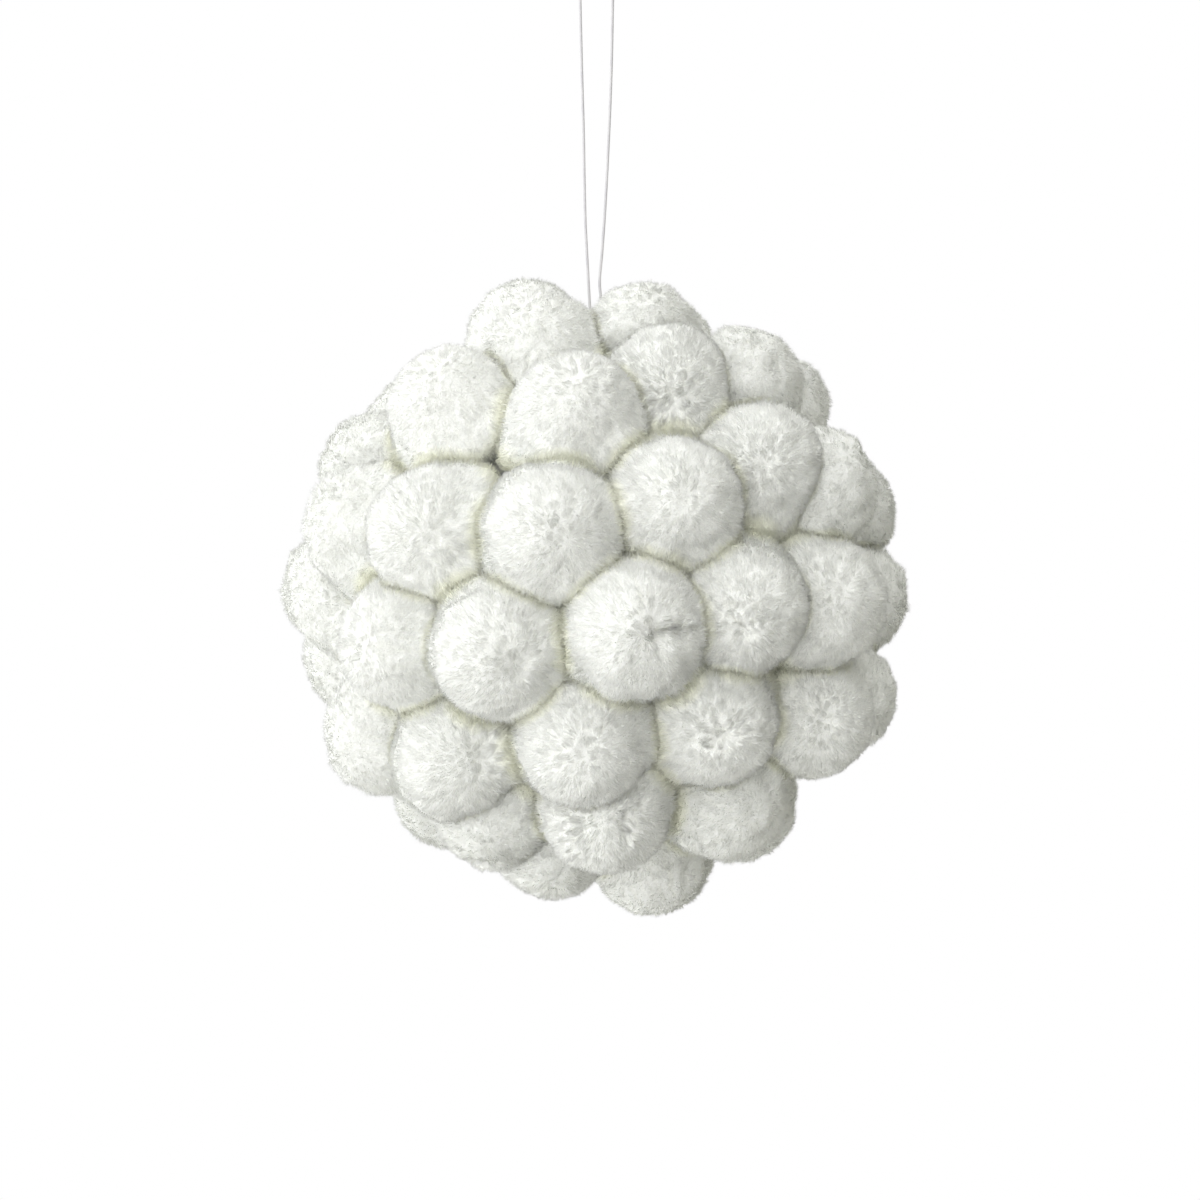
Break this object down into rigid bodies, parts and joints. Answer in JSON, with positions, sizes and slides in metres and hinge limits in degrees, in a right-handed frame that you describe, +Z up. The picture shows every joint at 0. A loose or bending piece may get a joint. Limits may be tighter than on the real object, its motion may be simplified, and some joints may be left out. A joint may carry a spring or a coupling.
{
  "type": "pompom ball ornament",
  "caption": "Round hanging ornament: a foam ball covered all over in fluffy white yarn pompoms, hung on a thin thread loop.",
  "frame": {"origin": "the middle of the thread at the top of the hanging loop", "axes": "+Z up along the thread, away from the ball; -Y towards the viewer of the picture; +X to that viewer's right"},
  "size_m": [0.1482, 0.149, 0.2579],
  "materials": {
    "white_yarn": "fluffy cut yarn",
    "white_foam": "white beaded foam",
    "pin_wire": "plain steel wire",
    "pale_thread": "thin pale thread"
  },
  "bodies": {
    "root": {"foam_core": "white_foam", "hanger_pin": "pin_wire", "hang_thread": "pale_thread", "thread_knot": "pale_thread", "pompom_01": "white_yarn", "pompom_02": "white_yarn", "pompom_03": "white_yarn", "pompom_04": "white_yarn", "pompom_05": "white_yarn", "pompom_06": "white_yarn", "pompom_07": "white_yarn", "pompom_08": "white_yarn", "pompom_09": "white_yarn", "pompom_10": "white_yarn", "pompom_11": "white_yarn", "pompom_12": "white_yarn", "pompom_13": "white_yarn", "pompom_14": "white_yarn", "pompom_15": "white_yarn", "pompom_16": "white_yarn", "pompom_17": "white_yarn", "pompom_18": "white_yarn", "pompom_19": "white_yarn", "pompom_20": "white_yarn", "pompom_21": "white_yarn", "pompom_22": "white_yarn", "pompom_23": "white_yarn", "pompom_24": "white_yarn", "pompom_25": "white_yarn", "pompom_26": "white_yarn", "pompom_27": "white_yarn", "pompom_28": "white_yarn", "pompom_29": "white_yarn", "pompom_30": "white_yarn", "pompom_31": "white_yarn", "pompom_32": "white_yarn", "pompom_33": "white_yarn", "pompom_34": "white_yarn", "pompom_35": "white_yarn", "pompom_36": "white_yarn", "pompom_37": "white_yarn", "pompom_38": "white_yarn", "pompom_39": "white_yarn", "pompom_40": "white_yarn", "pompom_41": "white_yarn", "pompom_42": "white_yarn", "pompom_43": "white_yarn", "pompom_44": "white_yarn", "pompom_45": "white_yarn", "pompom_46": "white_yarn", "pompom_47": "white_yarn", "pompom_48": "white_yarn", "pompom_49": "white_yarn", "pompom_50": "white_yarn", "pompom_51": "white_yarn", "pompom_52": "white_yarn", "pompom_53": "white_yarn", "pompom_54": "white_yarn", "pompom_55": "white_yarn", "pompom_56": "white_yarn"}
  },
  "joints": []
}
